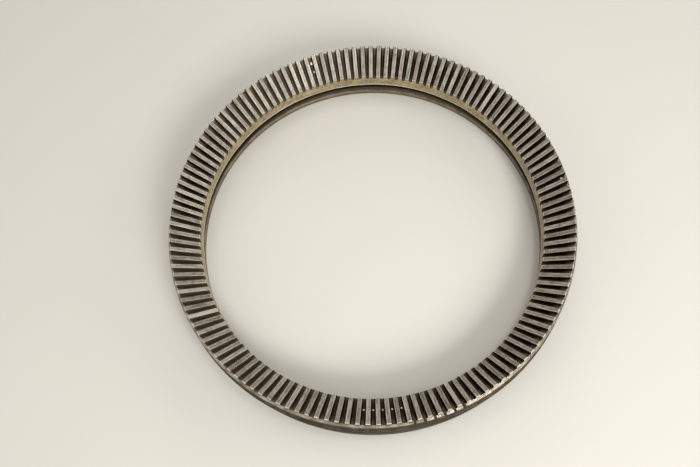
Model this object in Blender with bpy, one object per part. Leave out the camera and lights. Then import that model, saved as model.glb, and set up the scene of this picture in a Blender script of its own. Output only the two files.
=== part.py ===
"""Slewing ring bearing: a toothed ring turns on a row of caged balls over a fixed lower ring.

The teeth are straight and radial, on a cone that slopes down towards the middle. The ball race lies in
the gap between the gear ring's hanging web and the fixed ring around it. The ring lies flat, its axis is
Z, and the fixed ring's underside is at Z = 0.
"""
import math

import bmesh
import bpy
from mathutils import Matrix, Vector

MM = 0.001
FULL_TURN = 2 * math.pi

# Teeth
TOOTH_COUNT = 136
PITCH_ANGLE = FULL_TURN / TOOTH_COUNT
TIP_RADIUS = 356 * MM
BORE_RADIUS = 313.3 * MM
HEIGHT = 110 * MM
FACE_DROP = 40 * MM
INNER_TOOTH_DEPTH = 8.4 * MM
FACE_SLOPE = math.atan(FACE_DROP / (TIP_RADIUS - BORE_RADIUS))
SLOT_SHARE = 0.5
FLANK_ANGLE = math.radians(14.5)
OVERRUN = 5 * MM

# Gear ring
END_CHAMFER = 1.6 * MM
LEDGE_Z = 96.5 * MM
RIM_RADIUS = 362.5 * MM
EDGE_CHAMFER = 0.8 * MM
FLANGE_Z = 60 * MM
LIP_Z = 38.4 * MM
LIP_CHAMFER = 3 * MM
RECESS_RADIUS = 321 * MM
WEB_Z = 15 * MM
SLOT_CLEARANCE = 0.4 * MM

# Fixed ring
FOOT_RADIUS = 320 * MM
FOOT_Z = 11 * MM
WALL_RADIUS = 367.5 * MM
FIXED_TOP_Z = 57 * MM

# Ball race
BALL_COUNT = 42
BALL_RADIUS = 12.5 * MM
RACE_RADIUS = 13.4 * MM
RACE_CENTRE_RADIUS = 341 * MM
RACE_Z = 35 * MM
WALL_GAP = 5.4 * MM
RACE_STEPS = 6

# Cage
CAGE_SEGMENTS = 6
CAGE_THICKNESS = 3.4 * MM
CAGE_HEIGHT = 34 * MM
CAGE_END_GAP = math.radians(0.4)
WINDOW_CLEARANCE = 0.4 * MM

# Seals: centre radius, width and the height of the groove floor they sit on
FIT_GAP = 0.3 * MM
OUTER_SEAL = (357.5 * MM, 5 * MM, 52 * MM)
INNER_SEAL = (331.5 * MM, 5 * MM, 7 * MM)
SEAL_LIP_WIDTH = 1.2 * MM
SEAL_SHOULDER = 3.2 * MM

# Loading plug and its pin
PLUG_ANGLE = math.radians(97.5)
PLUG_HOLE_RADIUS = 13.2 * MM
PIN_RADIUS = 3 * MM
PIN_TAPER = 0.3 * MM
PIN_CENTRE_RADIUS = 358.5 * MM
PIN_TOP_Z = 34 * MM

# Grease fittings
FITTING_COUNT = 4
FITTING_RADIUS = 5 * MM
FITTING_HEAD_RADIUS = 2.4 * MM
FITTING_DEPTH = 7 * MM
PASSAGE_RADIUS = 1.5 * MM

# Tapped holes
BASE_HOLES = 24
BASE_HOLE_CIRCLE = 350 * MM
RIM_HOLES = 16
RIM_HOLE_Z = 78 * MM
HOLE_RADIUS = 4.25 * MM
HOLE_DEPTH = 16 * MM

# Facets around each turned piece
WEB_STEPS = TOOTH_COUNT // 2
FIXED_STEPS = 72
CAGE_STEPS = 14
HOLE_STEPS = 8
PLUG_STEPS = 16


def clear_scene():
    for obj in list(bpy.data.objects):
        bpy.data.objects.remove(obj)


def make_material(name, colour, roughness, metallic):
    material = bpy.data.materials.new(name)
    material.use_nodes = True
    shader = material.node_tree.nodes["Principled BSDF"]
    shader.inputs["Base Color"].default_value = (*colour, 1)
    shader.inputs["Roughness"].default_value = roughness
    shader.inputs["Metallic"].default_value = metallic
    return material


def make_materials():
    return {
        "gear": make_material("worn_gear_steel", (0.30, 0.27, 0.22), 0.45, 0.9),
        "fixed": make_material("dark_ring_steel", (0.17, 0.15, 0.12), 0.5, 0.9),
        "ball": make_material("bearing_steel", (0.60, 0.60, 0.58), 0.15, 1.0),
        "cage": make_material("cage_nylon", (0.55, 0.52, 0.42), 0.5, 0.0),
        "seal": make_material("black_rubber", (0.02, 0.02, 0.02), 0.7, 0.0),
        "fitting": make_material("zinc_steel", (0.45, 0.43, 0.38), 0.35, 1.0),
    }


def make_empty(name):
    empty = bpy.data.objects.new(name, None)
    bpy.context.scene.collection.objects.link(empty)
    return empty


def make_object(name, bm, material=None, parent=None, location=(0, 0, 0)):
    """Turn a bmesh into an object with outward normals and smooth round sides."""
    bmesh.ops.recalc_face_normals(bm, faces=bm.faces)
    mesh = bpy.data.meshes.new(name)
    bm.to_mesh(mesh)
    bm.free()
    if material:
        mesh.materials.append(material)
    for polygon in mesh.polygons:
        polygon.use_smooth = True
    mesh.set_sharp_from_angle(angle=math.radians(25))
    obj = bpy.data.objects.new(name, mesh)
    obj.location = location
    obj.parent = parent
    bpy.context.scene.collection.objects.link(obj)
    return obj


def cut(target, cutter):
    modifier = target.modifiers.new(cutter.name, "BOOLEAN")
    modifier.operation = "DIFFERENCE"
    modifier.solver = "EXACT"
    modifier.object = cutter
    cutter.hide_render = True
    cutter.display_type = "WIRE"


def arc(centre, radius, start, end, steps):
    """Points of an arc in the (radius, z) plane, both ends included."""
    angles = [start + (end - start) * i / steps for i in range(steps + 1)]
    return [(centre[0] + radius * math.cos(a), centre[1] + radius * math.sin(a)) for a in angles]


def around(angle, radius, z):
    return Vector((radius * math.cos(angle), radius * math.sin(angle), z))


def bridge(bm, upper, lower):
    """Join two closed rows of vertices, where one may hold twice as many as the other."""
    if len(upper) < len(lower):
        upper, lower = lower, upper
    share = len(upper) // len(lower)
    for i, corner in enumerate(lower):
        span = [upper[(i * share + k) % len(upper)] for k in range(share + 1)]
        bm.faces.new(span + [lower[(i + 1) % len(lower)], corner])


def turn_outline(outline, start=0.0):
    """Turn a closed outline of (radius, z, facets) points into a solid ring around Z."""
    bm = bmesh.new()
    rows = []
    for radius, z, steps in outline:
        angles = [start + FULL_TURN * i / steps for i in range(steps)]
        rows.append([bm.verts.new(around(a, radius, z)) for a in angles])
    for i, row in enumerate(rows):
        bridge(bm, row, rows[(i + 1) % len(rows)])
    return bm


def sweep_outline(bm, outline, start, end, steps):
    """Sweep a closed (radius, z) outline part of the way around Z and cap both ends."""
    rows = []
    for i in range(steps + 1):
        angle = start + (end - start) * i / steps
        rows.append([bm.verts.new(around(angle, r, z)) for r, z in outline])
    for row, after in zip(rows, rows[1:]):
        for k in range(len(row)):
            n = (k + 1) % len(row)
            bm.faces.new((row[k], row[n], after[n], after[k]))
    bm.faces.new(rows[0])
    bm.faces.new(rows[-1])


def add_turned_rod(bm, sections, steps, placement):
    """Add a solid rod with the given (distance, radius) sections along its local Z."""
    rows = []
    for distance, radius in sections:
        angles = [FULL_TURN * (i + 0.5) / steps for i in range(steps)]
        rows.append([bm.verts.new(placement @ around(a, radius, distance)) for a in angles])
    for row, after in zip(rows, rows[1:]):
        bridge(bm, row, after)
    bm.faces.new(rows[0])
    bm.faces.new(rows[-1])


def radial_placement(angle, z):
    """Local Z points outwards along the radius at this angle and height."""
    turn = Matrix.Rotation(angle, 4, "Z") @ Matrix.Rotation(math.pi / 2, 4, "Y")
    return Matrix.Translation((0, 0, z)) @ turn


def rods(name, sections, steps, placements):
    bm = bmesh.new()
    for placement in placements:
        add_turned_rod(bm, sections, steps, placement)
    return make_object(name, bm)


def race_arc(wall_radius, facing):
    """The race groove from its upper to its lower edge, cut into the wall at this radius."""
    reach = math.acos(abs(wall_radius - RACE_CENTRE_RADIUS) / RACE_RADIUS)
    middle = 0 if facing > 0 else math.pi
    upper = middle + facing * reach
    lower = middle - facing * reach
    return arc((RACE_CENTRE_RADIUS, RACE_Z), RACE_RADIUS, upper, lower, RACE_STEPS)


def face_height(radius):
    """Height of the tooth tips at this radius."""
    return HEIGHT - FACE_DROP * (TIP_RADIUS - radius) / (TIP_RADIUS - BORE_RADIUS)


def root_height(radius):
    """Height of the slot floor at this radius."""
    end_radius = TIP_RADIUS + END_CHAMFER
    outer = LEDGE_Z + SLOT_CLEARANCE
    inner = HEIGHT - FACE_DROP - INNER_TOOTH_DEPTH
    return outer + (inner - outer) * (end_radius - radius) / (end_radius - BORE_RADIUS)


def gear_outline():
    end_radius = TIP_RADIUS + END_CHAMFER
    web_radius = RACE_CENTRE_RADIUS - WALL_GAP / 2
    toothed = [
        (BORE_RADIUS, LIP_Z + LIP_CHAMFER),
        (BORE_RADIUS, face_height(BORE_RADIUS)),
        (TIP_RADIUS, HEIGHT),
        (end_radius, HEIGHT - END_CHAMFER),
        (end_radius, LEDGE_Z),
        (RIM_RADIUS - EDGE_CHAMFER, LEDGE_Z),
        (RIM_RADIUS, LEDGE_Z - EDGE_CHAMFER),
    ]
    hidden = [(RIM_RADIUS, FLANGE_Z), (web_radius, FLANGE_Z)]
    hidden += race_arc(web_radius, -1)
    hidden += [
        (web_radius, WEB_Z),
        (RECESS_RADIUS, WEB_Z),
        (RECESS_RADIUS, LIP_Z),
        (BORE_RADIUS + LIP_CHAMFER, LIP_Z),
    ]
    return [(r, z, TOOTH_COUNT) for r, z in toothed] + [(r, z, WEB_STEPS) for r, z in hidden]


def slot_section(radius):
    """The slot's upright section at this radius, as (sideways, z) corners that reach above the tips."""
    tip = face_height(radius)
    root = root_height(radius)
    lean = math.tan(FLANK_ANGLE) * math.cos(FACE_SLOPE)
    half_tip = SLOT_SHARE * PITCH_ANGLE * radius / 2
    half_root = half_tip - (tip - root) * lean
    half_top = half_tip + OVERRUN * lean
    top = tip + OVERRUN
    return [(-half_root, root), (half_root, root), (half_top, top), (-half_top, top)]


def add_slot(bm, angle):
    """One tapered wedge that clears the space between two teeth."""
    across = around(angle + math.pi / 2, 1, 0)
    ends = []
    for radius in (BORE_RADIUS - OVERRUN, TIP_RADIUS + END_CHAMFER + OVERRUN):
        corners = slot_section(radius)
        ends.append([bm.verts.new(around(angle, radius, z) + across * x) for x, z in corners])
    for k in range(4):
        n = (k + 1) % 4
        bm.faces.new((ends[0][k], ends[0][n], ends[1][n], ends[1][k]))
    bm.faces.new(ends[0])
    bm.faces.new(ends[1])


def build_gear_ring(materials, axis):
    start = PITCH_ANGLE / 2
    ring = make_object("gear_ring", turn_outline(gear_outline(), start), materials["gear"], axis)
    bm = bmesh.new()
    for i in range(TOOTH_COUNT):
        add_slot(bm, start + i * PITCH_ANGLE)
    cut(ring, make_object("tooth_spaces", bm))
    angles = [FULL_TURN * (i + 0.5) / RIM_HOLES for i in range(RIM_HOLES)]
    sections = [(RIM_RADIUS - HOLE_DEPTH, HOLE_RADIUS), (RIM_RADIUS + HOLE_DEPTH, HOLE_RADIUS)]
    cut(ring, rods("rim_holes", sections, HOLE_STEPS, [radial_placement(a, RIM_HOLE_Z) for a in angles]))
    return ring


def groove_outline(seal, top_z):
    """Inner and outer edge of a seal groove that opens upwards at this height."""
    centre, width, floor_z = seal
    inner = centre - width / 2
    outer = centre + width / 2
    return [(outer, top_z), (outer, floor_z), (inner, floor_z), (inner, top_z)]


def fixed_outline():
    wall_radius = RACE_CENTRE_RADIUS + WALL_GAP / 2
    points = [
        (FOOT_RADIUS + EDGE_CHAMFER, 0),
        (WALL_RADIUS - EDGE_CHAMFER, 0),
        (WALL_RADIUS, EDGE_CHAMFER),
        (WALL_RADIUS, FIXED_TOP_Z - EDGE_CHAMFER),
        (WALL_RADIUS - EDGE_CHAMFER, FIXED_TOP_Z),
    ]
    points += groove_outline(OUTER_SEAL, FIXED_TOP_Z)
    points += [(wall_radius, FIXED_TOP_Z)]
    points += race_arc(wall_radius, 1)
    points += [(wall_radius, FOOT_Z)]
    points += groove_outline(INNER_SEAL, FOOT_Z)
    points += [(FOOT_RADIUS, FOOT_Z), (FOOT_RADIUS, EDGE_CHAMFER)]
    return [(r, z, FIXED_STEPS) for r, z in points]


def fitting_angles():
    return [FULL_TURN * (i + 0.5) / FITTING_COUNT for i in range(FITTING_COUNT)]


def build_fixed_ring(materials):
    ring = make_object("fixed_ring", turn_outline(fixed_outline()), materials["fixed"])
    angles = [FULL_TURN * i / BASE_HOLES for i in range(BASE_HOLES)]
    spots = [Matrix.Translation(around(a, BASE_HOLE_CIRCLE, 0)) for a in angles]
    cut(ring, rods("base_holes", [(-HOLE_DEPTH, HOLE_RADIUS), (HOLE_DEPTH, HOLE_RADIUS)], HOLE_STEPS, spots))
    pocket = FITTING_RADIUS + FIT_GAP
    floor = WALL_RADIUS - FITTING_DEPTH - 2 * FIT_GAP
    sections = [
        (RACE_CENTRE_RADIUS, PASSAGE_RADIUS),
        (floor, PASSAGE_RADIUS),
        (floor, pocket),
        (WALL_RADIUS + FITTING_DEPTH, pocket),
    ]
    places = [radial_placement(a, RACE_Z) for a in fitting_angles()]
    cut(ring, rods("fitting_pockets", sections, HOLE_STEPS, places))
    sections = [(RACE_CENTRE_RADIUS, PLUG_HOLE_RADIUS), (WALL_RADIUS + BALL_RADIUS, PLUG_HOLE_RADIUS)]
    cut(ring, rods("plug_hole", sections, PLUG_STEPS, [radial_placement(PLUG_ANGLE, RACE_Z)]))
    cut(ring, build_pin_hole())
    return ring


def build_pin_hole():
    spot = Matrix.Translation(around(PLUG_ANGLE, PIN_CENTRE_RADIUS, 0))
    sections = [(-PIN_RADIUS, PIN_RADIUS + FIT_GAP), (PIN_TOP_Z + 2 * FIT_GAP, PIN_RADIUS + FIT_GAP)]
    return rods("pin_hole", sections, HOLE_STEPS, [spot])


def build_loading_plug(materials):
    """A round plug whose inner end carries on the race groove."""
    outer = WALL_RADIUS - 3 * FIT_GAP
    bm = bmesh.new()
    sections = [(RACE_CENTRE_RADIUS, PLUG_HOLE_RADIUS - FIT_GAP), (outer, PLUG_HOLE_RADIUS - FIT_GAP)]
    add_turned_rod(bm, sections, PLUG_STEPS, radial_placement(PLUG_ANGLE, RACE_Z))
    plug = make_object("loading_plug", bm, materials["fixed"])
    bm = bmesh.new()
    groove = arc((RACE_CENTRE_RADIUS, RACE_Z), RACE_RADIUS, 0, FULL_TURN, PLUG_STEPS)[:-1]
    sweep = PLUG_HOLE_RADIUS * 1.5 / RACE_CENTRE_RADIUS
    sweep_outline(bm, groove, PLUG_ANGLE - sweep, PLUG_ANGLE + sweep, 2)
    cut(plug, make_object("plug_groove", bm))
    cut(plug, bpy.data.objects["pin_hole"])


def build_taper_pin(materials):
    bm = bmesh.new()
    sections = [(2 * FIT_GAP, PIN_RADIUS), (PIN_TOP_Z, PIN_RADIUS - PIN_TAPER)]
    add_turned_rod(bm, sections, HOLE_STEPS, Matrix())
    make_object("plug_taper_pin", bm, materials["fitting"], location=around(PLUG_ANGLE, PIN_CENTRE_RADIUS, 0))


def build_grease_fittings(materials):
    outer = WALL_RADIUS - 3 * FIT_GAP
    sections = [
        (WALL_RADIUS - FITTING_DEPTH, FITTING_RADIUS),
        (outer - FITTING_HEAD_RADIUS, FITTING_RADIUS),
        (outer - FITTING_HEAD_RADIUS, FITTING_HEAD_RADIUS),
        (outer, FITTING_HEAD_RADIUS / 2),
    ]
    for i, angle in enumerate(fitting_angles(), 1):
        bm = bmesh.new()
        add_turned_rod(bm, sections, HOLE_STEPS, radial_placement(angle, RACE_Z))
        make_object(f"grease_fitting_{i}", bm, materials["fitting"])


def build_seal(name, seal, contact_z, material):
    """A seated rubber ring whose narrow lip reaches up to the turning face."""
    centre, width, floor_z = seal
    half = width / 2 - FIT_GAP
    bottom = floor_z + FIT_GAP
    outline = [
        (centre - half, bottom),
        (centre + half, bottom),
        (centre + half, bottom + SEAL_SHOULDER),
        (centre + SEAL_LIP_WIDTH / 2, contact_z - FIT_GAP),
        (centre - SEAL_LIP_WIDTH / 2, contact_z - FIT_GAP),
        (centre - half, bottom + SEAL_SHOULDER),
    ]
    make_object(name, turn_outline([(r, z, FIXED_STEPS) for r, z in outline]), material)


def ball_angle(index):
    return FULL_TURN * (index + 0.5) / BALL_COUNT


def build_balls(materials, axis):
    for i in range(BALL_COUNT):
        bm = bmesh.new()
        bmesh.ops.create_icosphere(bm, subdivisions=2, radius=BALL_RADIUS)
        place = around(ball_angle(i), RACE_CENTRE_RADIUS, RACE_Z)
        ball = make_object(f"ball_{i + 1:02d}", bm, materials["ball"], axis, place)
        ball.data.set_sharp_from_angle(angle=math.pi)


def build_cage(materials, axis):
    """Arc segments with one window for each ball."""
    apothem = BALL_RADIUS + WINDOW_CLEARANCE
    corner = apothem / math.cos(math.pi / HOLE_STEPS)
    sections = [(RACE_CENTRE_RADIUS - BALL_RADIUS, corner), (RACE_CENTRE_RADIUS + BALL_RADIUS, corner)]
    places = [radial_placement(ball_angle(i), RACE_Z) for i in range(BALL_COUNT)]
    windows = rods("ball_windows", sections, HOLE_STEPS, places)
    windows.parent = axis
    inner = RACE_CENTRE_RADIUS - CAGE_THICKNESS / 2
    outer = RACE_CENTRE_RADIUS + CAGE_THICKNESS / 2
    bottom = RACE_Z - CAGE_HEIGHT / 2
    top = RACE_Z + CAGE_HEIGHT / 2
    outline = [(inner, bottom), (outer, bottom), (outer, top), (inner, top)]
    for i in range(CAGE_SEGMENTS):
        start = FULL_TURN * i / CAGE_SEGMENTS + CAGE_END_GAP / 2
        end = FULL_TURN * (i + 1) / CAGE_SEGMENTS - CAGE_END_GAP / 2
        bm = bmesh.new()
        sweep_outline(bm, outline, start, end, CAGE_STEPS)
        segment = make_object(f"cage_segment_{i + 1}", bm, materials["cage"], axis)
        cut(segment, windows)


def main():
    clear_scene()
    materials = make_materials()
    gear_axis = make_empty("gear_axis")
    ball_train_axis = make_empty("ball_train_axis")
    build_fixed_ring(materials)
    build_loading_plug(materials)
    build_taper_pin(materials)
    build_grease_fittings(materials)
    build_seal("outer_seal", OUTER_SEAL, FLANGE_Z, materials["seal"])
    build_seal("inner_seal", INNER_SEAL, WEB_Z, materials["seal"])
    build_balls(materials, ball_train_axis)
    build_cage(materials, ball_train_axis)
    build_gear_ring(materials, gear_axis)


main()
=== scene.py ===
"""Looks of the slewing ring bearing: a toothed ring on caged balls over a fixed lower ring.

Every ring is turned here again with finer facets, in the CAD's own sizes, and carries procedural
materials that follow its angle, radius and height.
"""

import math
import random

import bmesh
import bpy
from mathutils import Matrix, Vector


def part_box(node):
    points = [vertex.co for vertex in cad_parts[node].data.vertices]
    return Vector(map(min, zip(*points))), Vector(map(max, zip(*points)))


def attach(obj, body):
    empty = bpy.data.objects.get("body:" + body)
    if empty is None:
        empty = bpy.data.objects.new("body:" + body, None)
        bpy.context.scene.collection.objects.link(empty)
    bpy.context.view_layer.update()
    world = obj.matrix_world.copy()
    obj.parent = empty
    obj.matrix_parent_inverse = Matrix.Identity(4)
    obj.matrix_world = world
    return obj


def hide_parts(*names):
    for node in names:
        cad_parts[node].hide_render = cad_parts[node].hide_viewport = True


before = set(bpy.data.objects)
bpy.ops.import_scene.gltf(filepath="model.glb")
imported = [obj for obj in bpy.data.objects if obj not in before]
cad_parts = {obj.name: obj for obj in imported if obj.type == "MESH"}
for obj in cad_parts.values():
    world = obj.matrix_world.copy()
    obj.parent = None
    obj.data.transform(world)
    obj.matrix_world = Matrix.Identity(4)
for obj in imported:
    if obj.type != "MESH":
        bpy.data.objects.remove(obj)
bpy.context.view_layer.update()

MM = 0.001
FULL_TURN = 2 * math.pi

# Gear ring
TOOTH_COUNT = 136
PITCH = FULL_TURN / TOOTH_COUNT
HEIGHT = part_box("gear_ring")[1].z
RIM_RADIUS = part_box("gear_ring")[1].x
WEB_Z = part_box("gear_ring")[0].z
TIP_RADIUS = 356 * MM
BORE_RADIUS = 313.3 * MM
FACE_DROP = 40 * MM
INNER_TOOTH_DEPTH = 8.4 * MM
FACE_SLOPE = math.atan(FACE_DROP / (TIP_RADIUS - BORE_RADIUS))
INNER_SLOT_SHARE = 0.515
OUTER_SLOT_SHARE = 0.585
LEAN = math.tan(math.radians(14.5)) * math.cos(FACE_SLOPE)
ROOT_FILLET = 1.1 * MM
TIP_CHAMFER = 0.35 * MM
INNER_CHAMFER = 0.6 * MM
END_CHAMFER = 1.6 * MM
END_RADIUS = TIP_RADIUS + END_CHAMFER
LEDGE_Z = 96.5 * MM
ROOT_STEP = 0.4 * MM
EDGE_CHAMFER = 0.8 * MM
FLANGE_Z = 60 * MM
LIP_Z = 38.4 * MM
LIP_CHAMFER = 3 * MM
LIP_BAND = 2.4 * MM
RECESS_RADIUS = 321 * MM
FACE_STATIONS = 8

# The slots run out over the ledge on one side of the ring: middle, reach to each side, depth
RUN_OUT_ANGLE = math.radians(280.7)
RUN_OUT_REACH = math.radians(7.4)
RUN_OUT_DEPTH = 1.7 * MM

# White paint flecks on the slot floors: angle in degrees, radius, size
PAINT_FLECKS = (
    (101.6, 350.6 * MM, 4.0 * MM),
    (101.5, 337.6 * MM, 3.4 * MM),
    (4.2, 353.0 * MM, 3.4 * MM),
)

# A small painted highlight, a glint, in the middle of the floor of a few neighbouring slots: the
# middle slot's number, how many lie on each side of it, and the glints' place and radius
GLINT_SLOT = 100
GLINT_REACH = 2
GLINT_RADIUS = 332.5 * MM
GLINT_SIZE = MM

# Where the slots are painted paler: dust round 212 degrees, and painted light round 112 degrees
# where light falls into the slots; angle and reach in degrees, and its thickest share
DUST_AND_PAINTED_LIGHT = ((212, 44, 0.5), (112, 34, 0.37))

# Radii over which dust builds up towards the slots' outer ends and fades from their inner ends
OUTER_END_DUST = (346 * MM, 354 * MM)
INNER_END_DUST = (314 * MM, 321 * MM)

# Dust on the recess under the lip: where it is thickest, where it ends and how high it reaches
RECESS_DUST_ANGLE = math.radians(82)
RECESS_DUST_CORE = math.radians(15)
RECESS_DUST_REACH = math.radians(50)
RECESS_DUST_HEIGHT = 10 * MM

# Fixed ring
WALL_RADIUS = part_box("fixed_ring")[1].x
FIXED_TOP_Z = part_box("fixed_ring")[1].z
FOOT_RADIUS = 320 * MM
FOOT_Z = 11 * MM

# Ball race
RACE_RADIUS = 13.4 * MM
RACE_CENTRE_RADIUS = 341 * MM
RACE_Z = 35 * MM
WALL_GAP = 5.4 * MM
RACE_STEPS = 14
BALL_COUNT = 42
BALL_RADIUS = 12.5 * MM

# Cage
CAGE_SEGMENTS = 6
CAGE_END_GAP = math.radians(0.4)
CAGE_THICKNESS = 3.4 * MM
CAGE_EDGE = 0.5 * MM
WINDOW_RADIUS = 12.9 * MM
CAGE_STEPS = 56

# Seals: centre radius, width and groove floor height
FIT_GAP = 0.3 * MM
OUTER_SEAL = (357.5 * MM, 5 * MM, 52 * MM)
INNER_SEAL = (331.5 * MM, 5 * MM, 7 * MM)

# Plug, pin and grease fittings
PLUG_ANGLE = math.radians(97.5)
PLUG_HOLE_RADIUS = 13.2 * MM
PIN_RADIUS = 3 * MM
PIN_TAPER = 0.3 * MM
PIN_CENTRE_RADIUS = 358.5 * MM
PIN_TOP_Z = 34 * MM
FITTING_COUNT = 4
FITTING_RADIUS = 5 * MM
FITTING_DEPTH = 7 * MM
PASSAGE_RADIUS = 1.5 * MM

# Tapped holes
BASE_HOLES = 24
BASE_HOLE_CIRCLE = 350 * MM
RIM_HOLES = 16
RIM_HOLE_Z = 78 * MM
HOLE_RADIUS = 4.25 * MM
HOLE_DEPTH = 16 * MM
HOLE_CHAMFER = MM

# Facets
COARSE_PER_PITCH = 4
RING_STEPS = 3 * TOOTH_COUNT
ROUND_STEPS = 40
SHARP_ANGLE = math.radians(32)

# Camera
CAMERA_PLACE = (-39.0 * MM, -419.0 * MM, 1125.6 * MM)
CAMERA_TILT = math.radians(20.84)
CAMERA_ROLL = math.radians(-8.18)
CAMERA_TURN = math.radians(0.71)
CAMERA_LENS = 32

# Stage
LIGHT_AIM = (0, 0, 0.08)
WORLD_TONE = (1.0, 0.98, 0.94, 1)
WORLD_STRENGTH = 0.32
FLOOR_SIZE = 12
FLOOR_DROP = 0.2 * MM


def colour(red, green, blue):
    """A display colour from 0 to 255 as the linear one that shaders take."""
    return tuple((v / 255) ** 2.2 for v in (red, green, blue)) + (1.0,)


# ---------------------------------------------------------------- materials


class Look:
    """A material and the short calls that build its nodes."""

    def __init__(self, name):
        self.material = bpy.data.materials.new(name)
        self.material.use_nodes = True
        self.tree = self.material.node_tree
        self.shader = self.tree.nodes["Principled BSDF"]
        self.place = self.add("TexCoord", {}, "Object")

    def add(self, kind, inputs, output=0, **settings):
        """Make a node of this kind, link or set its inputs and return one of its outputs."""
        node = self.tree.nodes.new("ShaderNode" + kind)
        for key, value in settings.items():
            setattr(node, key, value)
        for key, value in inputs.items():
            if isinstance(value, bpy.types.NodeSocket):
                self.tree.links.new(value, node.inputs[key])
            else:
                node.inputs[key].default_value = value
        return node.outputs[output]

    def maths(self, operation, first, second=0.0):
        return self.add("Math", {0: first, 1: second}, operation=operation)

    def vector(self, operation, first, second):
        return self.add("VectorMath", {0: first, 1: second}, operation=operation)

    def span(self, value, low, high, start=0.0, end=1.0):
        """value carried from low..high to start..end, and held there outside."""
        inputs = {"Value": value, "From Min": low, "From Max": high, "To Min": start, "To Max": end}
        return self.add("MapRange", inputs)

    def noise(self, place, size, detail=3.0, roughness=0.55):
        """Fractal noise from 0 to 1 whose features are about this size, in metres."""
        inputs = {"Vector": place, "Scale": 1 / size, "Detail": detail, "Roughness": roughness}
        return self.add("TexNoise", inputs)

    def mix(self, share, first, second):
        return self.add("Mix", {0: share, 6: first, 7: second}, 2, data_type="RGBA")

    def tint(self, base, share, other):
        """base, multiplied by other by this share."""
        inputs = {0: share, 6: base, 7: other}
        return self.add("Mix", inputs, 2, data_type="RGBA", blend_type="MULTIPLY")

    def parts(self):
        """x, y, z, the angle round the axis and the distance from it."""
        x, y, z = (self.add("SeparateXYZ", {0: self.place}, i) for i in range(3))
        flat = self.vector("MULTIPLY", self.place, (1, 1, 0))
        radius = self.add("VectorMath", {0: flat}, "Value", operation="LENGTH")
        return x, y, z, self.maths("ARCTAN2", y, x), radius

    def radial_grain(self, stretch=0.06):
        """Coordinates whose noise runs out in streaks along the radius."""
        radius = self.parts()[4]
        flat = self.vector("MULTIPLY", self.place, (1, 1, 0))
        rim = self.add("VectorMath", {0: flat}, operation="NORMALIZE")
        rim = self.add("VectorMath", {0: rim, "Scale": BORE_RADIUS}, operation="SCALE")
        up = self.add("CombineXYZ", {2: self.maths("MULTIPLY", radius, stretch)})
        return self.vector("ADD", rim, up)

    def turned_grain(self, stretch=0.015):
        """Coordinates whose noise runs round the axis, as a lathe tool leaves it."""
        radius = self.parts()[4]
        flat = self.vector("MULTIPLY", self.place, (stretch, stretch, 1))
        up = self.add("CombineXYZ", {2: radius})
        return self.vector("ADD", flat, up)

    def finish(self, base, roughness, metallic, height, depth):
        """Give the shader its colour, roughness and metallic value, and a bump of this depth."""
        tree, shader = self.tree, self.shader
        tree.links.new(base, shader.inputs["Base Color"])
        tree.links.new(roughness, shader.inputs["Roughness"])
        shader.inputs["Metallic"].default_value = metallic
        bump = self.add("Bump", {"Height": height, "Distance": depth, "Strength": 1.0})
        tree.links.new(bump, shader.inputs["Normal"])
        return self.material


def tooth_number(look, offset):
    """A whole number for each tooth (offset 0.5) or each slot (offset 0)."""
    angle = look.parts()[3]
    turns = look.maths("ADD", look.maths("DIVIDE", angle, PITCH), offset)
    return look.maths("FLOORED_MODULO", look.maths("FLOOR", turns), TOOTH_COUNT)


def off_middle(look):
    """Distance from the tooth's middle, as a share of the pitch."""
    turns = look.maths("ADD", look.maths("DIVIDE", look.parts()[3], PITCH), 0.5)
    return look.maths("ABSOLUTE", look.maths("SUBTRACT", look.maths("FRACT", turns), 0.5))


def land_look():
    """Tooth tips: speckled light steel, streaked along the tooth, its edges rubbed bright."""
    look = Look("tooth_land_steel")
    number = tooth_number(look, 0.5)
    own = look.add("TexWhiteNoise", {"W": number}, "Value", noise_dimensions="1D")
    own_tint = look.add("TexWhiteNoise", {"W": number}, "Color", noise_dimensions="1D")
    grain = look.radial_grain()
    streaks = look.noise(grain, 1.4 * MM, 2.0)
    fine = look.noise(grain, 0.35 * MM, 1.0)
    speckle = look.noise(look.radial_grain(0.3), 1.8 * MM, 3.0, 0.65)
    stain = look.noise(look.place, 16 * MM, 4.0)
    base = look.mix(look.span(streaks, 0.34, 0.66), colour(138, 132, 121), colour(212, 206, 197))
    base = look.tint(base, look.span(off_middle(look), 0.02, 0.13, 0.5, 0), colour(176, 172, 166))
    base = look.tint(base, look.span(speckle, 0.54, 0.66, 0, 0.75), colour(150, 140, 124))
    base = look.mix(look.span(speckle, 0.34, 0.44, 0.5, 0), base, colour(214, 207, 198))
    base = look.tint(base, 1.0, look.mix(own_tint, colour(245, 249, 238), colour(255, 244, 247)))
    base = look.tint(base, look.span(own, 0, 0.85, 0, 0.8), colour(196, 194, 191))
    base = look.mix(look.span(own, 0.90, 0.97, 0, 0.5), base, colour(228, 221, 206))
    base = look.tint(base, look.span(stain, 0.52, 0.72, 0, 0.6), colour(190, 174, 150))
    roughness = look.span(streaks, 0.3, 0.7, 0.44, 0.58)
    return look.finish(base, roughness, 0.4, look.maths("ADD", streaks, fine), 0.05 * MM)


def edge_look():
    """Chamfers and worn edges: the brightest steel."""
    look = Look("bright_edge_steel")
    patch = look.noise(look.place, 5 * MM, 3.0)
    base = look.mix(look.span(patch, 0.35, 0.65), colour(172, 162, 146), colour(236, 230, 218))
    roughness = look.span(patch, 0.3, 0.7, 0.42, 0.28)
    return look.finish(base, roughness, 0.35, patch, 0.03 * MM)


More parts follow.
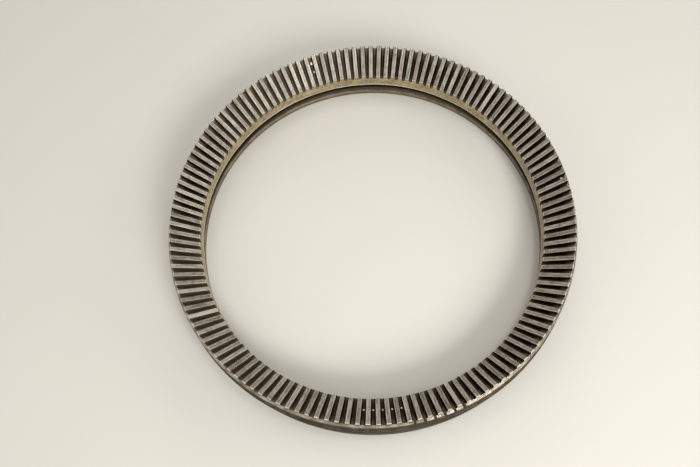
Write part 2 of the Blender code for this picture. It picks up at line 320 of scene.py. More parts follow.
def slot_look():
    """Tooth spaces: flanks black with old grease over a browner floor, with dust, painted light,
    flecks and a few painted glints.
    """
    look = Look("greased_slot_steel")
    z, radius = look.parts()[2], look.parts()[4]
    patch = look.noise(look.place, 7 * MM, 4.0)
    streaks = look.noise(look.radial_grain(0.12), 1.2 * MM, 2.0)
    rise = (root_height(END_RADIUS) - root_height(BORE_RADIUS)) / (END_RADIUS - BORE_RADIUS)
    root = look.maths("MULTIPLY_ADD", radius, rise)
    root.node.inputs[2].default_value = root_height(0)
    above = look.maths("SUBTRACT", z, root)
    base = look.mix(look.span(patch, 0.40, 0.66), colour(17, 11, 5), colour(38, 28, 16))
    base = look.mix(look.span(above, 0.1 * MM, 0.6 * MM, 0.7, 0), base, colour(66, 52, 32))
    base = look.tint(base, look.span(streaks, 0.4, 0.6, 0, 0.5), colour(140, 132, 120))
    low = look.span(above, MM, 5 * MM, 0.6, 0.05)
    inner_end = look.span(radius, *INNER_END_DUST, 0.6, 0)
    ends = look.maths("MAXIMUM", look.span(radius, *OUTER_END_DUST), inner_end)
    end = look.maths("MULTIPLY", ends, low)
    end = look.maths("MULTIPLY", end, look.span(radius, END_RADIUS, END_RADIUS + MM, 1, 0.1))
    base = look.mix(end, base, colour(112, 98, 75))
    # paler slot floors: real dust on one side, painted light on the slots that face the light on
    # the other
    for angle, reach, thickest in DUST_AND_PAINTED_LIGHT:
        near = facing(look, math.radians(angle))
        dust = look.span(near, math.cos(math.radians(reach)), 1, 0, thickest)
        base = look.mix(dust, base, colour(96, 84, 64))
    # painted highlights: small pale glints on the floors of a few neighbouring slots
    base = look.mix(painted_glints(look), base, colour(236, 230, 216))
    base = look.mix(paint_flecks(look), base, colour(246, 243, 232))
    film = look.span(above, 0.6 * MM, 2 * MM, 0.45, 0.7)
    look.shader.inputs["Specular IOR Level"].default_value = 0.08
    return look.finish(base, film, 0.0, look.maths("ADD", streaks, patch), 0.08 * MM)


def facing(look, angle):
    """The cosine of how far a point lies from this angle round the axis."""
    towards = {0: look.place, 1: around(angle, 1, 0)}
    reach = look.add("VectorMath", towards, "Value", operation="DOT_PRODUCT")
    return look.maths("DIVIDE", reach, look.parts()[4])


def paint_flecks(look):
    """Where the few ragged paint flecks lie on the slot floors."""
    ragged = look.maths("MULTIPLY", look.noise(look.place, 3 * MM, 2.0), 3 * MM)
    share = 0.0
    for angle, radius, size in PAINT_FLECKS:
        spot = around(math.radians(angle), radius, root_height(radius))
        away = look.add("VectorMath", {0: look.place, 1: spot}, "Value", operation="DISTANCE")
        away = look.maths("ADD", away, ragged)
        share = look.maths("MAXIMUM", look.span(away, size, size + 0.6 * MM, 1, 0), share)
    return share


def painted_glints(look):
    """Where the small painted glints, painted highlights, lie in the middle of the slots."""
    angle, radius = look.parts()[3:]
    turns = look.maths("FRACT", look.maths("DIVIDE", angle, PITCH))
    middle = look.maths("MULTIPLY", look.maths("SUBTRACT", turns, 0.5), PITCH)
    across = look.maths("MULTIPLY", middle, radius)
    along = look.maths("SUBTRACT", radius, GLINT_RADIUS)
    flat = look.add("CombineXYZ", {0: across, 1: along})
    away = look.add("VectorMath", {0: flat}, "Value", operation="LENGTH")
    slots = look.maths("ABSOLUTE", look.maths("SUBTRACT", tooth_number(look, 0), GLINT_SLOT))
    spot = look.span(away, GLINT_SIZE, 1.6 * GLINT_SIZE, 1, 0)
    return look.maths("MULTIPLY", spot, look.span(slots, GLINT_REACH, GLINT_REACH + 0.5, 1, 0))


def wall_look():
    """The gear ring's inner wall: tan with olive and pinkish stains over fine turning marks."""
    look = Look("stained_wall_steel")
    turned = look.noise(look.turned_grain(), 0.9 * MM, 2.0)
    bands = look.noise(look.turned_grain(0.05), 5 * MM, 3.0)
    patch = look.noise(look.place, 24 * MM, 5.0, 0.62)
    olive = look.noise(look.vector("ADD", look.place, (1, 2, 3)), 15 * MM, 4.0, 0.6)
    spots = look.noise(look.place, 5 * MM, 4.0, 0.7)
    base = look.mix(look.span(patch, 0.36, 0.64), colour(146, 131, 101), colour(196, 180, 147))
    base = look.mix(look.span(olive, 0.50, 0.64, 0, 0.7), base, colour(160, 145, 100))
    base = look.mix(look.span(olive, 0.36, 0.46, 0.6, 0), base, colour(166, 152, 140))
    base = look.mix(look.span(bands, 0.46, 0.70, 0, 0.6), base, colour(126, 114, 92))
    base = look.tint(base, look.span(spots, 0.50, 0.64, 0, 0.8), colour(168, 156, 130))
    base = look.tint(base, look.span(turned, 0.4, 0.7, 0, 0.35), colour(190, 180, 165))
    roughness = look.span(patch, 0.3, 0.7, 0.36, 0.55)
    return look.finish(base, roughness, 0.3, look.maths("ADD", turned, bands), 0.05 * MM)


def lip_look():
    """The narrow band and the chamfer along the wall's lower edge, painted pale: a painted
    highlight of light bounced up from the floor.
    """
    look = Look("lip_steel_painted_light")
    patch = look.noise(look.place, 9 * MM, 4.0)
    # painted highlight: pale colours that stand in for light bounced up from the floor
    base = look.mix(look.span(patch, 0.35, 0.65), colour(196, 182, 152), colour(236, 226, 202))
    roughness = look.span(patch, 0.3, 0.7, 0.45, 0.3)
    return look.finish(base, roughness, 0.2, patch, 0.02 * MM)


def recess_look():
    """The set-back wall under the lip: painted near-black as painted shade under the lip, with dust
    low down on one side.
    """
    look = Look("recess_steel_painted_shade")
    patch = look.noise(look.place, 10 * MM, 4.0)
    # painted shade: near-black colours that stand in for the shade under the lip
    base = look.mix(look.span(patch, 0.40, 0.66), colour(14, 9, 2), colour(32, 23, 9))
    near = facing(look, RECESS_DUST_ANGLE)
    side = look.span(near, math.cos(RECESS_DUST_REACH), math.cos(RECESS_DUST_CORE), 0.1)
    low = look.span(look.parts()[2], WEB_Z, WEB_Z + RECESS_DUST_HEIGHT, 0.7, 0)
    dust = look.maths("MULTIPLY", side, low)
    base = look.mix(dust, base, colour(112, 98, 74))
    roughness = look.span(patch, 0.3, 0.7, 0.6, 0.8)
    look.shader.inputs["Specular IOR Level"].default_value = 0.08
    return look.finish(base, roughness, 0.0, patch, 0.05 * MM)


def foot_look():
    """The lower ring's bore: grey where it is rubbed, brown towards the ground."""
    look = Look("lower_bore_steel")
    patch = look.noise(look.place, 18 * MM, 5.0, 0.6)
    turned = look.noise(look.turned_grain(), 0.8 * MM, 2.0)
    base = look.mix(look.span(patch, 0.35, 0.65), colour(104, 94, 78), colour(148, 136, 114))
    low = look.span(look.parts()[2], 3 * MM, 7 * MM, 0.8, 0)
    base = look.mix(low, base, colour(104, 84, 60))
    base = look.tint(base, look.span(turned, 0.4, 0.7, 0, 0.4), colour(176, 168, 156))
    roughness = look.span(patch, 0.3, 0.7, 0.4, 0.6)
    return look.finish(base, roughness, 0.35, turned, 0.05 * MM)


def end_look():
    """Outer ends of the teeth: dark, with bright specks where they were struck."""
    look = Look("tooth_end_steel")
    specks = look.noise(look.place, 1.5 * MM, 2.0)
    patch = look.noise(look.place, 9 * MM, 3.0)
    base = look.mix(look.span(patch, 0.36, 0.64), colour(54, 46, 34), colour(104, 94, 78))
    base = look.mix(look.span(specks, 0.52, 0.64, 0, 0.8), base, colour(176, 166, 150))
    roughness = look.span(specks, 0.3, 0.7, 0.6, 0.35)
    return look.finish(base, roughness, 0.3, specks, 0.1 * MM)


def ledge_look():
    """The ledge outside the teeth: turned steel, rubbed in places, stained and speckled."""
    look = Look("ledge_steel")
    turned = look.noise(look.turned_grain(), 0.5 * MM, 2.0)
    patch = look.noise(look.place, 16 * MM, 4.0)
    specks = look.noise(look.place, 1.6 * MM, 2.0)
    base = look.mix(look.span(patch, 0.38, 0.62), colour(104, 95, 80), colour(158, 148, 132))
    base = look.tint(base, look.span(turned, 0.4, 0.7, 0, 0.4), colour(170, 162, 150))
    base = look.tint(base, look.span(specks, 0.56, 0.70, 0, 0.5), colour(138, 126, 106))
    roughness = look.span(patch, 0.3, 0.7, 0.30, 0.23)
    return look.finish(base, roughness, 0.55, turned, 0.015 * MM)


def dark_look(name, dark, light, metallic, sheen):
    """Oiled, unpolished turned steel: outer walls, end faces and everything below."""
    look = Look(name)
    turned = look.noise(look.turned_grain(), 0.8 * MM, 2.0)
    patch = look.noise(look.place, 20 * MM, 5.0, 0.6)
    spots = look.noise(look.place, 3 * MM, 3.0)
    base = look.mix(look.span(patch, 0.35, 0.65), dark, light)
    base = look.tint(base, look.span(turned, 0.4, 0.7, 0, 0.4), colour(176, 168, 156))
    base = look.tint(base, look.span(spots, 0.6, 0.78, 0, 0.35), colour(156, 132, 104))
    roughness = look.span(patch, 0.3, 0.7, 0.42, 0.62)
    look.shader.inputs["Specular IOR Level"].default_value = sheen
    return look.finish(base, roughness, metallic, look.maths("ADD", turned, spots), 0.05 * MM)


def race_look():
    """The ground ball track, with a film of grease."""
    look = Look("ground_race_steel")
    turned = look.noise(look.turned_grain(0.004), 0.3 * MM, 2.0)
    film = look.noise(look.place, 9 * MM, 4.0)
    base = look.mix(look.span(turned, 0.4, 0.6), colour(150, 148, 142), colour(186, 184, 178))
    base = look.tint(base, look.span(film, 0.5, 0.7, 0, 0.7), colour(166, 140, 96))
    roughness = look.span(film, 0.3, 0.7, 0.16, 0.34)
    return look.finish(base, roughness, 0.95, turned, 0.01 * MM)


def ball_look():
    look = Look("polished_ball_steel")
    haze = look.noise(look.place, 6 * MM, 4.0)
    scratch = look.noise(look.vector("MULTIPLY", look.place, (1, 0.05, 0.3)), 0.4 * MM, 2.0)
    base = look.mix(look.span(haze, 0.4, 0.65), colour(206, 206, 203), colour(182, 178, 170))
    roughness = look.span(haze, 0.35, 0.7, 0.08, 0.22)
    return look.finish(base, roughness, 1.0, scratch, 0.004 * MM)


def nylon_look():
    look = Look("cage_nylon")
    cloud = look.noise(look.place, 12 * MM, 4.0)
    grease = look.noise(look.place, 5 * MM, 4.0)
    base = look.mix(look.span(cloud, 0.35, 0.65), colour(208, 202, 182), colour(190, 180, 152))
    base = look.tint(base, look.span(grease, 0.56, 0.72, 0, 0.7), colour(150, 116, 70))
    roughness = look.span(grease, 0.4, 0.7, 0.5, 0.3)
    look.shader.inputs["Subsurface Weight"].default_value = 0.15
    look.shader.inputs["Subsurface Radius"].default_value = (2 * MM, 1.6 * MM, MM)
    return look.finish(base, roughness, 0.0, cloud, 0.03 * MM)


def rubber_look():
    look = Look("nitrile_rubber")
    dust = look.noise(look.place, 8 * MM, 5.0, 0.65)
    grain = look.noise(look.place, 0.5 * MM, 2.0)
    base = look.mix(look.span(dust, 0.5, 0.75), colour(25, 20, 12), colour(66, 55, 38))
    roughness = look.span(dust, 0.3, 0.7, 0.5, 0.75)
    look.shader.inputs["Specular IOR Level"].default_value = 0.2
    return look.finish(base, roughness, 0.0, grain, 0.04 * MM)


def zinc_look():
    look = Look("zinc_plated_steel")
    cloud = look.noise(look.place, 3 * MM, 3.0)
    base = look.mix(look.span(cloud, 0.35, 0.65), colour(182, 176, 160), colour(150, 142, 124))
    roughness = look.span(cloud, 0.3, 0.7, 0.24, 0.42)
    return look.finish(base, roughness, 0.9, cloud, 0.02 * MM)


def make_looks():
    rim_colours = colour(37, 30, 21), colour(59, 50, 37)
    turned_colours = colour(66, 58, 46), colour(104, 94, 78)
    return {
        "land": land_look(),
        "edge": edge_look(),
        "slot": slot_look(),
        "wall": wall_look(),
        "lip": lip_look(),
        "recess": recess_look(),
        "end": end_look(),
        "ledge": ledge_look(),
        "rim": dark_look("dark_rim_steel", *rim_colours, 0.0, 0.12),
        "foot": foot_look(),
        "turned": dark_look("oiled_turned_steel", *turned_colours, 0.4, 0.3),
        "race": race_look(),
        "ball": ball_look(),
        "cage": nylon_look(),
        "rubber": rubber_look(),
        "zinc": zinc_look(),
    }


# ---------------------------------------------------------------- mesh helpers


def around(angle, radius, z):
    return Vector((radius * math.cos(angle), radius * math.sin(angle), z))


def arc(centre, radius, start, end, steps):
    angles = [start + (end - start) * i / steps for i in range(steps + 1)]
    return [(centre[0] + radius * math.cos(a), centre[1] + radius * math.sin(a)) for a in angles]


def make_piece(name, bm, materials, body=None, nodes=()):
    """An object with smooth round faces and sharp corners. With a body, it joins the frame."""
    bmesh.ops.recalc_face_normals(bm, faces=bm.faces)
    mesh = bpy.data.meshes.new(name)
    bm.to_mesh(mesh)
    bm.free()
    for material in materials:
        mesh.materials.append(material)
    piece = bpy.data.objects.new(name, mesh)
    bpy.context.scene.collection.objects.link(piece)
    smooth(piece)
    if body:
        join_frame(piece, body, nodes)
    return piece


def join_frame(piece, body, nodes):
    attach(piece, body)
    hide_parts(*nodes)


def smooth(piece):
    for polygon in piece.data.polygons:
        polygon.use_smooth = True
    piece.data.set_sharp_from_angle(angle=SHARP_ANGLE)


def subtract(piece, cutter):
    """Cut one mesh out of another for good, and drop the cutter."""
    modifier = piece.modifiers.new("cut", "BOOLEAN")
    modifier.operation = "DIFFERENCE"
    modifier.solver = "EXACT"
    modifier.object = cutter
    graph = bpy.context.evaluated_depsgraph_get()
    mesh = bpy.data.meshes.new_from_object(piece.evaluated_get(graph))
    piece.modifiers.remove(modifier)
    piece.data = mesh
    bpy.data.objects.remove(cutter)
    smooth(piece)


def bridge(bm, upper, lower, indices):
    """Join two closed rows, the longer a whole multiple of the shorter.

    indices holds the faces' material indices and is repeated round the row.
    """
    if len(upper) < len(lower):
        upper, lower = lower, upper
    share = len(upper) // len(lower)
    for i, corner in enumerate(lower):
        span = [upper[(i * share + k) % len(upper)] for k in range(share + 1)]
        face = bm.faces.new(span + [lower[(i + 1) % len(lower)], corner])
        face.material_index = indices[i % len(indices)]


def turn(bm, outline, steps, indices=(0,)):
    """Turn a closed (radius, z) outline round Z. indices holds one material index for each side."""
    rows = []
    for radius, z in outline:
        spots = [around(FULL_TURN * i / steps, radius, z) for i in range(steps)]
        rows.append([bm.verts.new(spot) for spot in spots])
    for i, row in enumerate(rows):
        bridge(bm, row, rows[(i + 1) % len(rows)], (indices[i % len(indices)],))


def turned_rod(bm, sections, placement):
    """A solid rod with (distance, radius) sections along its local Z."""
    rows = []
    for distance, radius in sections:
        angles = [FULL_TURN * i / ROUND_STEPS for i in range(ROUND_STEPS)]
        rows.append([bm.verts.new(placement @ around(a, radius, distance)) for a in angles])
    for row, after in zip(rows, rows[1:]):
        bridge(bm, row, after, (0,))
    for cap in (rows[0], rows[-1]):
        bm.faces.new(cap)


def rods(sections, placements):
    bm = bmesh.new()
    for placement in placements:
        turned_rod(bm, sections, placement)
    return bm


def radial_placement(angle, z):
    """Local Z points outwards along the radius at this angle and height."""
    lift = Matrix.Translation((0, 0, z))
    return lift @ Matrix.Rotation(angle, 4, "Z") @ Matrix.Rotation(math.pi / 2, 4, "Y")


def race_arc(wall_radius, side):
    """The race groove in a wall outside (side 1) or inside (side -1) the balls."""
    reach = math.acos(abs(wall_radius - RACE_CENTRE_RADIUS) / RACE_RADIUS)
    middle = 0 if side > 0 else math.pi
    start, end = middle + side * reach, middle - side * reach
    return arc((RACE_CENTRE_RADIUS, RACE_Z), RACE_RADIUS, start, end, RACE_STEPS)


def cutter_piece(name, bm):
    return make_piece(name, bm, [])


# ---------------------------------------------------------------- gear ring


def face_height(radius):
    return HEIGHT - FACE_DROP * (TIP_RADIUS - radius) / (TIP_RADIUS - BORE_RADIUS)


def root_height(radius):
    outer = LEDGE_Z + ROOT_STEP
    inner = HEIGHT - FACE_DROP - INNER_TOOTH_DEPTH
    return outer + (inner - outer) * (END_RADIUS - radius) / (END_RADIUS - BORE_RADIUS)


def run_out(angle):
    """How far the slot at this angle cuts down into the ledge."""
    off = abs((angle - RUN_OUT_ANGLE + math.pi) % FULL_TURN - math.pi) / RUN_OUT_REACH
    return RUN_OUT_DEPTH * max(0.0, 1 - off**4)


def slot_share(radius):
    """Slot width at the face as a share of the pitch: the slots widen outwards."""
    growth = (OUTER_SLOT_SHARE - INNER_SLOT_SHARE) / (TIP_RADIUS - BORE_RADIUS)
    return INNER_SLOT_SHARE + growth * (radius - BORE_RADIUS)


def half_slot(radius, tip, share):
    """Corners from the slot's middle to the tooth's middle, as (angle from the slot, z)."""
    root = root_height(radius)
    half_face = share * slot_share(radius) * PITCH * radius / 2
    half_root = half_face - (face_height(radius) - root) * LEAN
    fillet = min(ROOT_FILLET, 0.6 * half_root)
    edge = half_root + (tip - root) * LEAN
    start = edge + 0.7 * TIP_CHAMFER
    middle = PITCH * radius / 2
    corners = [
        (0, root),
        (half_root - fillet, root),
        (half_root - 0.25 * fillet, root + 0.25 * fillet),
        (half_root + fillet * LEAN, root + fillet),
        (edge - TIP_CHAMFER * LEAN, tip - TIP_CHAMFER),
        (start, tip),
        (start + (middle - start) / 3, tip),
        (start + (middle - start) * 2 / 3, tip),
        (middle, tip),
    ]
    return [(x / radius, z) for x, z in corners]


# Corners of half_slot: the floor lies before the first, the flank before the second, and the
# last is the tooth's middle
FLOOR_CORNERS = 2
FLANK_CORNER = 4
LAST_CORNER = 8
SIDES = list(range(-LAST_CORNER, LAST_CORNER))

# Rows of faces on the gear ring, counted from the rim inwards and down
END_ROW = 2
OUTER_EDGE_ROW = 3
INNER_EDGE_ROW = OUTER_EDGE_ROW + FACE_STATIONS + 1
LIP_ROW = INNER_EDGE_ROW + 3


def side_zone(side):
    """Which corner pair a column lies in, counted from the slot's middle."""
    return side if side >= 0 else -side - 1


def pitch_corners(radius, tip, share):
    """One pitch, from a tooth's middle over the slot to just before the next tooth's middle.

    Each corner is (angle from the slot's middle, z).
    """
    half = half_slot(radius, tip, share)
    return [(math.copysign(half[abs(s)][0], s), half[abs(s)][1]) for s in SIDES]


def gear_rows(bm, slots):
    """Rows of vertices from the rim over the ledge and the teeth and down the inner wall."""
    stations = [BORE_RADIUS + INNER_CHAMFER]
    step = (TIP_RADIUS - BORE_RADIUS) / FACE_STATIONS
    stations += [BORE_RADIUS + step * i for i in range(1, FACE_STATIONS)] + [TIP_RADIUS]
    plans = [
        (RIM_RADIUS, END_RADIUS, LEDGE_Z - EDGE_CHAMFER),
        (RIM_RADIUS - EDGE_CHAMFER, END_RADIUS, LEDGE_Z),
        (END_RADIUS, END_RADIUS, LEDGE_Z),
        (END_RADIUS, END_RADIUS, None),
    ]
    plans += [(r, r, None) for r in reversed(stations)]
    plans += [
        (BORE_RADIUS, BORE_RADIUS, None),
        (BORE_RADIUS, BORE_RADIUS, (LIP_Z + face_height(BORE_RADIUS)) / 2),
        (BORE_RADIUS, BORE_RADIUS, LIP_Z + LIP_CHAMFER + LIP_BAND),
        (BORE_RADIUS + 0.1 * LIP_BAND, BORE_RADIUS, LIP_Z + LIP_CHAMFER),
        (BORE_RADIUS + LIP_CHAMFER, BORE_RADIUS, LIP_Z),
    ]
    rows = []
    for radius, section_radius, level in plans:
        row = []
        for angle, share in slots:
            tip = face_height(section_radius)
            if section_radius == END_RADIUS:
                tip = HEIGHT - END_CHAMFER
            if section_radius == BORE_RADIUS:
                tip -= INNER_CHAMFER
            notch = run_out(angle) if radius >= END_RADIUS else 0
            for side, (turn_by, z) in zip(SIDES, pitch_corners(section_radius, tip, share)):
                if level is not None:
                    z = level - (notch if abs(side) <= FLOOR_CORNERS else 0)
                row.append(bm.verts.new(around(angle + turn_by, radius, z)))
        rows.append(row)
    return rows


def gear_zones(row, angle, materials):
    """Material index of each face between this row and the next, over one pitch."""
    index = {name: i for i, name in enumerate(materials)}
    notched = run_out(angle) > ROOT_STEP
    zones = []
    for side in SIDES:
        zone = side_zone(side)
        in_slot = zone < FLANK_CORNER
        if row < END_ROW:
            name = "slot" if notched and zone < FLOOR_CORNERS else "ledge"
        elif row == END_ROW:
            name = "slot" if in_slot else "end"
        elif row <= INNER_EDGE_ROW:
            worn = zone == FLANK_CORNER or row in (OUTER_EDGE_ROW, INNER_EDGE_ROW)
            name = "slot" if in_slot else "edge" if worn else "land"
        else:
            name = "lip" if row >= LIP_ROW else "wall"
        zones.append(index[name])
    return zones


def build_gear_ring(looks):
    names = "land edge slot wall lip recess end ledge rim turned race".split()
    random.seed(5)
    slots = []
    for i in range(TOOTH_COUNT):
        jitter = random.uniform(-0.004, 0.004) * PITCH
        slots.append(((i + 0.5) * PITCH + jitter, random.uniform(0.985, 1.015)))
    bm = bmesh.new()
    rows = gear_rows(bm, slots)
    for k, (row, after) in enumerate(zip(rows, rows[1:])):
        zones = [zone for angle, share in slots for zone in gear_zones(k, angle, names)]
        bridge(bm, row, after, zones)
    web_radius = RACE_CENTRE_RADIUS - WALL_GAP / 2
    hidden = [(RECESS_RADIUS, LIP_Z), (RECESS_RADIUS, WEB_Z + EDGE_CHAMFER)]
    hidden += [(RECESS_RADIUS + EDGE_CHAMFER, WEB_Z), (web_radius - EDGE_CHAMFER, WEB_Z)]
    hidden += [(web_radius, WEB_Z + EDGE_CHAMFER)]
    race_start = len(hidden)
    hidden += reversed(race_arc(web_radius, -1))
    race_end = len(hidden) - 1
    hidden += [(web_radius, FLANGE_Z), (RIM_RADIUS - EDGE_CHAMFER, FLANGE_Z)]
    hidden += [(RIM_RADIUS, FLANGE_Z + EDGE_CHAMFER)]
    per_row = TOOTH_COUNT * COARSE_PER_PITCH
    previous = rows[-1]
    for k, (radius, z) in enumerate(hidden):
        row = [bm.verts.new(around(FULL_TURN * i / per_row, radius, z)) for i in range(per_row)]
        name = "recess" if k < 2 else "race" if race_start < k <= race_end else "turned"
        bridge(bm, previous, row, (names.index(name),))
        previous = row
    bridge(bm, rows[0], previous, (names.index("rim"),))
    ring = make_piece("toothed_ring", bm, [looks[n] for n in names])
    cut_radial_holes(ring, RIM_HOLES, 0.5, RIM_HOLE_Z, RIM_RADIUS)
    join_frame(ring, "gear_body", ["gear_ring"])


def tapped_sections(surface):
    """A hole of tap drill size with a chamfered mouth at this distance."""
    return [
        (surface - HOLE_DEPTH, HOLE_RADIUS),
        (surface - HOLE_CHAMFER, HOLE_RADIUS),
        (surface + HOLE_CHAMFER, HOLE_RADIUS + 2 * HOLE_CHAMFER),
    ]


def cut_radial_holes(ring, count, phase, z, surface):
    places = [radial_placement(FULL_TURN * (i + phase) / count, z) for i in range(count)]
    subtract(ring, cutter_piece("radial_holes", rods(tapped_sections(surface), places)))


# ---------------------------------------------------------------- fixed ring and what sits in it


def groove(seal, top_z):
    centre, width, floor_z = seal
    inner, outer = centre - width / 2, centre + width / 2
    return [(outer, top_z), (outer, floor_z), (inner, floor_z), (inner, top_z)]


def build_fixed_ring(looks):
    wall_radius = RACE_CENTRE_RADIUS + WALL_GAP / 2
    points = [
        (FOOT_RADIUS + EDGE_CHAMFER, 0),
        (WALL_RADIUS - EDGE_CHAMFER, 0),
        (WALL_RADIUS, EDGE_CHAMFER),
        (WALL_RADIUS, FIXED_TOP_Z - EDGE_CHAMFER),
        (WALL_RADIUS - EDGE_CHAMFER, FIXED_TOP_Z),
    ]
    points += groove(OUTER_SEAL, FIXED_TOP_Z)
    points += [(wall_radius + EDGE_CHAMFER, FIXED_TOP_Z), (wall_radius, FIXED_TOP_Z - EDGE_CHAMFER)]
    race_start = len(points)
    points += race_arc(wall_radius, 1)
    race_end = len(points) - 1
    points += [(wall_radius, FOOT_Z)]
    points += groove(INNER_SEAL, FOOT_Z)
    foot_start = len(points) - 1
    points += [(FOOT_RADIUS + EDGE_CHAMFER, FOOT_Z), (FOOT_RADIUS, FOOT_Z - EDGE_CHAMFER)]
    points += [(FOOT_RADIUS, EDGE_CHAMFER)]
    names = ["rim", "turned", "race", "foot"]
    zones = []
    for i in range(len(points)):
        name = "rim" if i < 4 else "turned"
        if race_start <= i < race_end:
            name = "race"
        if i >= foot_start:
            name = "foot"
        zones.append(names.index(name))
    bm = bmesh.new()
    turn(bm, points, RING_STEPS, zones)
    ring = make_piece("lower_ring", bm, [looks[n] for n in names])
    flip = Matrix.Rotation(math.pi, 4, "X")
    places = [
        Matrix.Translation(around(FULL_TURN * i / BASE_HOLES, BASE_HOLE_CIRCLE, 0)) @ flip
        for i in range(BASE_HOLES)
    ]
    subtract(ring, cutter_piece("base_holes", rods(tapped_sections(0), places)))
    pocket = FITTING_RADIUS + FIT_GAP
    floor = WALL_RADIUS - FITTING_DEPTH - 2 * FIT_GAP
    sections = [
        (RACE_CENTRE_RADIUS, PASSAGE_RADIUS),
        (floor, PASSAGE_RADIUS),
        (floor, pocket),
        (WALL_RADIUS - FIT_GAP, pocket),
        (WALL_RADIUS + FIT_GAP, pocket + 2 * FIT_GAP),
    ]
    places = [radial_placement(a, RACE_Z) for a in fitting_angles()]
    subtract(ring, cutter_piece("fitting_pockets", rods(sections, places)))
    ends = (RACE_CENTRE_RADIUS, WALL_RADIUS + BALL_RADIUS)
    sections = [(end, PLUG_HOLE_RADIUS) for end in ends]
    places = [radial_placement(PLUG_ANGLE, RACE_Z)]
    subtract(ring, cutter_piece("plug_hole", rods(sections, places)))
    subtract(ring, pin_hole())
    join_frame(ring, "fixed_body", ["fixed_ring"])


def fitting_angles():
    return [FULL_TURN * (i + 0.5) / FITTING_COUNT for i in range(FITTING_COUNT)]


def pin_hole():
    spot = Matrix.Translation(around(PLUG_ANGLE, PIN_CENTRE_RADIUS, 0))
    ends = (-PIN_RADIUS, PIN_TOP_Z + 2 * FIT_GAP)
    sections = [(end, PIN_RADIUS + FIT_GAP) for end in ends]
    return cutter_piece("pin_hole", rods(sections, [spot]))


def build_loading_plug(looks):
    """A round plug that carries on the race groove, with an extraction hole in its outer end."""
    outer = WALL_RADIUS - 3 * FIT_GAP
    radius = PLUG_HOLE_RADIUS - FIT_GAP
    place = radial_placement(PLUG_ANGLE, RACE_Z)
    sections = [
        (RACE_CENTRE_RADIUS, radius),
        (outer - EDGE_CHAMFER, radius),
        (outer, radius - EDGE_CHAMFER),
    ]
    plug = make_piece("ball_loading_plug", rods(sections, [place]), [looks["turned"]])
    race = arc((RACE_CENTRE_RADIUS, RACE_Z), RACE_RADIUS, 0, FULL_TURN, ROUND_STEPS)
    bm = bmesh.new()
    turn(bm, race[:-1], RING_STEPS)
    subtract(plug, cutter_piece("plug_groove", bm))
    subtract(plug, pin_hole())
    sections = [
        (outer - 2 * PIN_RADIUS, PIN_RADIUS * 0.8),
        (outer - FIT_GAP, PIN_RADIUS * 0.8),
        (outer + FIT_GAP, PIN_RADIUS),
    ]
    subtract(plug, cutter_piece("extraction_hole", rods(sections, [place])))
    join_frame(plug, "fixed_body", ["loading_plug"])


def build_taper_pin(looks):
    spot = Matrix.Translation(around(PLUG_ANGLE, PIN_CENTRE_RADIUS, 0))
    top = PIN_RADIUS - PIN_TAPER
    sections = [
        (2 * FIT_GAP, PIN_RADIUS - FIT_GAP),
        (3 * FIT_GAP, PIN_RADIUS),
        (PIN_TOP_Z - FIT_GAP, top),
        (PIN_TOP_Z, top - FIT_GAP),
    ]
    bm = rods(sections, [spot])
    make_piece("plug_pin", bm, [looks["zinc"]], "fixed_body", ["plug_taper_pin"])


def build_grease_fittings(looks):
    """Flush fittings: a shouldered body with a domed nipple and the ball of its valve."""
    outer = WALL_RADIUS - 3 * FIT_GAP
    nipple = 2.4 * MM
    neck = 1.9 * MM
    mouth = 0.9 * MM
    sections = [
        (WALL_RADIUS - FITTING_DEPTH, FITTING_RADIUS - FIT_GAP),
        (WALL_RADIUS - FITTING_DEPTH + FIT_GAP, FITTING_RADIUS),
        (outer - 1.1 * nipple, FITTING_RADIUS),
        (outer - nipple, FITTING_RADIUS - FIT_GAP),
        (outer - nipple, nipple),
        (outer - 0.8 * nipple, nipple),
        (outer - 0.65 * nipple, neck),
        (outer - 0.45 * nipple, neck),
        (outer - 0.30 * nipple, nipple),
        (outer - 0.10 * nipple, nipple * 0.8),
        (outer, nipple * 0.5),
        (outer, mouth),
        (outer - 0.15 * nipple, mouth * 0.9),
        (outer - 0.05 * nipple, mouth * 0.4),
    ]
    for i, angle in enumerate(fitting_angles(), 1):
        bm = rods(sections, [radial_placement(angle, RACE_Z)])
        node = f"grease_fitting_{i}"
        make_piece(f"grease_nipple_{i}", bm, [looks["zinc"]], "fixed_body", [node])


def build_seal(name, node, seal, contact_z, looks):
    """A seated rubber ring with rounded shoulders and a lip that reaches up to the turning face.

    seal holds its centre radius, width and floor height.
    """
    centre, width, floor_z = seal
    half = width / 2 - FIT_GAP
    bottom = floor_z + FIT_GAP
    top = contact_z - FIT_GAP
    shoulder = bottom + 3.2 * MM
    lip = 0.6 * MM
    outline = [(centre - half + FIT_GAP, bottom), (centre + half - FIT_GAP, bottom)]
    outline += [(centre + half, bottom + FIT_GAP)]
    outline += arc((centre + half - lip, shoulder - lip), lip, 0, math.pi / 2, 4)
    outline += [(centre + lip, shoulder + lip)]
    outline += arc((centre, top - lip), lip, 0, math.pi, 8)
    outline += [(centre - lip, shoulder + lip)]
    outline += arc((centre - half + lip, shoulder - lip), lip, math.pi / 2, math.pi, 4)
    outline += [(centre - half, bottom + FIT_GAP)]
    bm = bmesh.new()
    turn(bm, outline, RING_STEPS)
    make_piece(name, bm, [looks["rubber"]], "fixed_body", [node])


# ---------------------------------------------------------------- ball train


def ball_angle(index):
    return FULL_TURN * (index + 0.5) / BALL_COUNT


def build_balls(looks):
    bm = bmesh.new()
    bmesh.ops.create_icosphere(bm, subdivisions=4, radius=BALL_RADIUS)
    mesh = bpy.data.meshes.new("bearing_ball")
    bm.to_mesh(mesh)
    bm.free()
    mesh.materials.append(looks["ball"])
    for polygon in mesh.polygons:
        polygon.use_smooth = True
    for i in range(BALL_COUNT):
        ball = bpy.data.objects.new(f"bearing_ball_{i + 1:02d}", mesh)
        ball.location = around(ball_angle(i), RACE_CENTRE_RADIUS, RACE_Z)
        bpy.context.scene.collection.objects.link(ball)
        join_frame(ball, "ball_train", [f"ball_{i + 1:02d}"])


